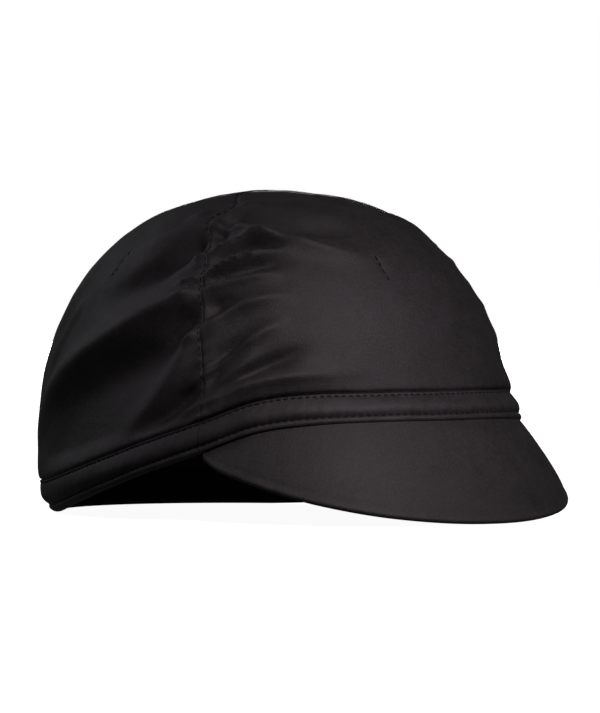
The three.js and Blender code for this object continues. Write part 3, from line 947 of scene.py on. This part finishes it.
sewing = stitch_tree(thread_finish("black sewing thread"))
hem_rows = []
for row in HEM_ROWS:
    hem_rows.append(hem_stitch_row(-SEAM_FOOT, SEAM_FOOT, row, ahead))
    hem_rows.append(hem_stitch_row(SEAM_FOOT, 360 - SEAM_FOOT, row, behind))
crown_rows = [
    seam_stitch_row(back_panel, 0, behind),
    seam_stitch_row(back_panel, -1, behind),
    dart_row(front_panel, FRONT_DART, ahead),
    dart_row(back_panel, BACK_DART, behind),
]
hem_stitches = stitches("cap_hem_stitches", hem_rows, sewing, STITCH_LENGTH)
crown_stitches = stitches("cap_crown_stitches", crown_rows, sewing, CROWN_STITCH_LENGTH)

crown_cloth = black_cloth("black crown cotton", (0.0148, 0.0128, 0.0148), 0.56 * MM, 0.6)
hem_cloth = black_cloth("black hem cotton", (0.0152, 0.0132, 0.0152), 0.56 * MM, 0.65)
peak_cloth = black_cloth("black peak cotton", (0.0156, 0.0136, 0.0153), 0.6 * MM, 0.6)

for piece, cloth, slot, nodes in (
    (crown_front, crown_cloth, "crown_cloth", ["crown_front"]),
    (crown_back, crown_cloth, "crown_cloth", ["crown_back"]),
    (hem_front, hem_cloth, "hem_cloth", ["hem_front"]),
    (hem_back, hem_cloth, "hem_cloth", ["hem_back"]),
    (peak, peak_cloth, "peak_cloth", ["peak"]),
    (hem_stitches, None, "hem_cloth", []),
    (crown_stitches, None, "crown_cloth", []),
):
    if cloth:
        piece.data.materials.append(cloth)
    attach(piece, "root")
    if nodes:
        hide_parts(*nodes)

FLOOR_RADIUS = 7
FLOOR_SIDES = 96
FLOOR_DROP = 0.1 * MM


def pale_floor():
    """A round floor, white to the camera, whose glow throws no light on the cap."""
    mesh = bpy.data.meshes.new("pale_floor")
    turns = [2 * math.pi * side / FLOOR_SIDES for side in range(FLOOR_SIDES)]
    rim = [(FLOOR_RADIUS * math.cos(a), FLOOR_RADIUS * math.sin(a), -FLOOR_DROP) for a in turns]
    mesh.from_pydata(rim, [], [list(range(FLOOR_SIDES))])
    paint, shade = new_material("matt pale floor")
    spot = shade.node("ShaderNodeTexCoord", None, None, "Object")
    grain = shade.node("ShaderNodeTexNoise", None, {"Vector": spot, "Scale": 3.0})
    tone = shade.node("ShaderNodeVectorMath", {"operation": "SCALE"},
                      {0: (0.93, 0.93, 0.935), "Scale": 0.99 + grain * 0.02})
    show(shade, shade.node("ShaderNodeBsdfPrincipled", None, {
        "Base Color": tone, "Roughness": 0.9, "Specular IOR Level": 0.1,
        "Emission Color": (1, 1, 1, 1), "Emission Strength": 0.95,
    }))
    mesh.materials.append(paint)
    floor = bpy.data.objects.new("pale_floor", mesh)
    bpy.context.scene.collection.objects.link(floor)
    floor.visible_diffuse = False
    floor.visible_glossy = False
    return floor


floor = pale_floor()

# The photograph is taken from well to the wearer's right of the front, and from just above level.
CAMERA_AZIMUTH = 40
CAMERA_ELEVATION = 1.5
CAMERA_DISTANCE = 3.0
CAMERA_LENS = 412.8  # millimetres, on a sensor 36 mm wide
CAP_MIDDLE = Vector((0.16, 12.19, 57.5)) * MM
AIM_RIGHTWARD = 8.8 * MM  # how far to the picture's right of the cap's middle the camera points
FOREHEAD = Vector((-20, -60, 30)) * MM

picture_right = Vector((math.cos(math.radians(CAMERA_AZIMUTH)), -math.sin(math.radians(CAMERA_AZIMUTH)), 0))
aim = CAP_MIDDLE + picture_right * AIM_RIGHTWARD


def from_aim(azimuth, elevation, distance):
    """A place at a distance from the aim, by degrees towards the wearer's right and above level."""
    a, e = math.radians(azimuth), math.radians(elevation)
    return aim + Vector((-math.sin(a) * math.cos(e), -math.cos(a) * math.cos(e), math.sin(e))) * distance


def look_at(thing, place, target):
    thing.location = place
    thing.rotation_euler = (target - place).to_track_quat("-Z", "Y").to_euler()
    bpy.context.scene.collection.objects.link(thing)


def new_lamp(name, kind, power, colour, place, target):
    lamp = bpy.data.lights.new(name, kind)
    lamp.energy = power
    lamp.color = colour
    look_at(bpy.data.objects.new(name, lamp), place, target)
    return lamp


def soft_light(name, azimuth, elevation, distance, size, power, colour):
    lamp = new_lamp(name, "AREA", power, colour, from_aim(azimuth, elevation, distance), aim)
    lamp.shape = "DISK"
    lamp.size = size


def pool_light(name, azimuth, elevation, distance, reach, size, power, colour, target):
    """A lamp whose light is full at its target and fades to nothing a reach away from it."""
    lamp = new_lamp(name, "SPOT", power, colour, from_aim(azimuth, elevation, distance), target)
    lamp.spot_size = 2 * math.atan(reach / distance)
    lamp.spot_blend = 1
    lamp.shadow_soft_size = size


pool_light("forehead_key", 31, 46, 2.2, 0.128, 0.06, 165, (1, 0.905, 0.94), FOREHEAD)
soft_light("front_fill", -20, 26, 2.4, 1.2, 14, (1, 0.92, 0.96))
soft_light("side_light", 162, 32, 2.4, 1.2, 7.5, (0.98, 0.94, 1))
soft_light("low_back_light", 220, 4, 2.6, 0.3, 16, (1, 0.94, 0.98))

# The surroundings are white to the camera and give the cap only a little light.
SKY_LIGHT = 0.055
world = bpy.data.worlds.new("white surroundings")
bpy.context.scene.world = world
world.use_nodes = True
world.node_tree.nodes.clear()
sky = Shade(world.node_tree)
seen = sky.node("ShaderNodeLightPath", None, None, "Is Camera Ray")
strength = SKY_LIGHT + seen * (1 - SKY_LIGHT)
white = sky.node("ShaderNodeBackground", None, {"Color": (1, 1, 1, 1), "Strength": strength})
sky.node("ShaderNodeOutputWorld", None, {"Surface": white})

lens = bpy.data.cameras.new("photo_camera")
lens.sensor_width = 36
lens.lens = CAMERA_LENS
lens.clip_end = 50
camera = bpy.data.objects.new("photo_camera", lens)
look_at(camera, from_aim(CAMERA_AZIMUTH, CAMERA_ELEVATION, CAMERA_DISTANCE), aim)
bpy.context.scene.camera = camera
bpy.context.scene.view_settings.view_transform = "Standard"
